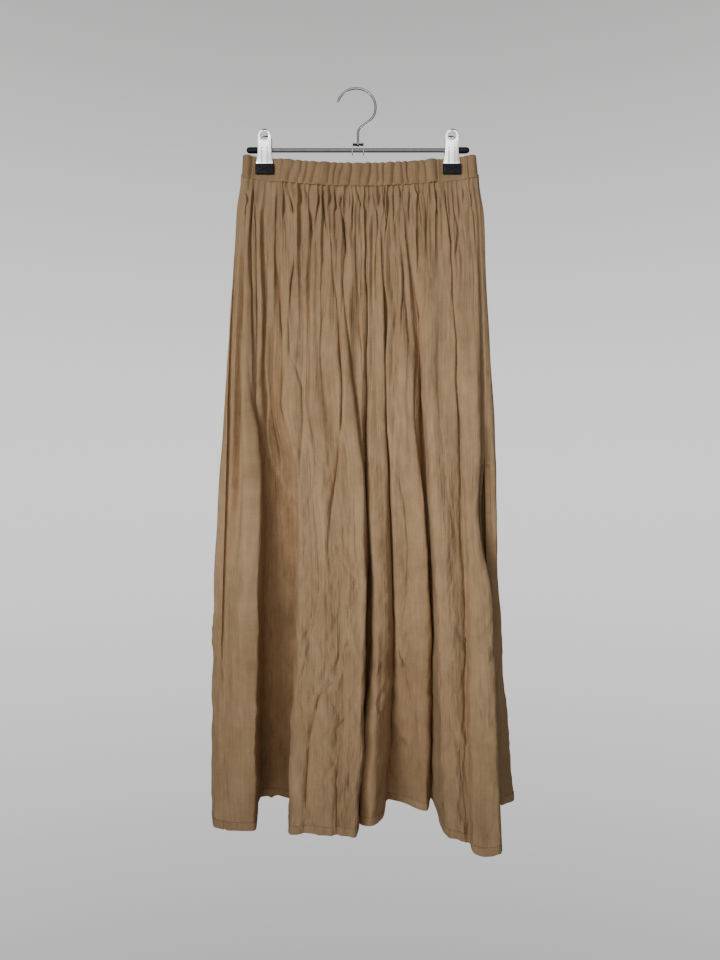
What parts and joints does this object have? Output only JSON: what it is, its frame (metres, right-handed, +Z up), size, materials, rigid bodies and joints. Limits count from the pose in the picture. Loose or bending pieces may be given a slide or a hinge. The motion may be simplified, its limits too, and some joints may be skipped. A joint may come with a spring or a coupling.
{
  "type": "gathered maxi skirt on a clip hanger",
  "caption": "Long full skirt in sand-coloured crinkled plain-weave cloth, gathered into an elasticated waistband, with a side slit, hung flat from a bar hanger with two spring clips.",
  "frame": {"origin": "inside top of the hanger's hook, where it rests on a rail or a wall hook", "axes": "+Z up, +X to the right in a view of the skirt's front, the front of the skirt faces -Y"},
  "size_m": [0.4707, 0.1689, 1.1321],
  "materials": {
    "linen": "matte, crinkled plain weave, sand brown",
    "steel": "bright plated steel",
    "rubber": "black, moulded, satin"
  },
  "bodies": {
    "root": {"front_panel": "linen", "back_panel": "linen", "waistband_front": "linen", "waistband_back": "linen", "hanger_hook": "steel", "hook_stirrup": "steel", "hanger_bar": "steel", "clip_plate_front_left": "steel", "clip_plate_back_left": "steel", "clip_spring_left": "steel", "clip_plate_front_right": "steel", "clip_plate_back_right": "steel", "clip_spring_right": "steel", "end_cap_left": "rubber", "end_cap_right": "rubber", "clip_pad_front_left": "rubber", "clip_pad_back_left": "rubber", "clip_pad_front_right": "rubber", "clip_pad_back_right": "rubber"}
  },
  "joints": []
}
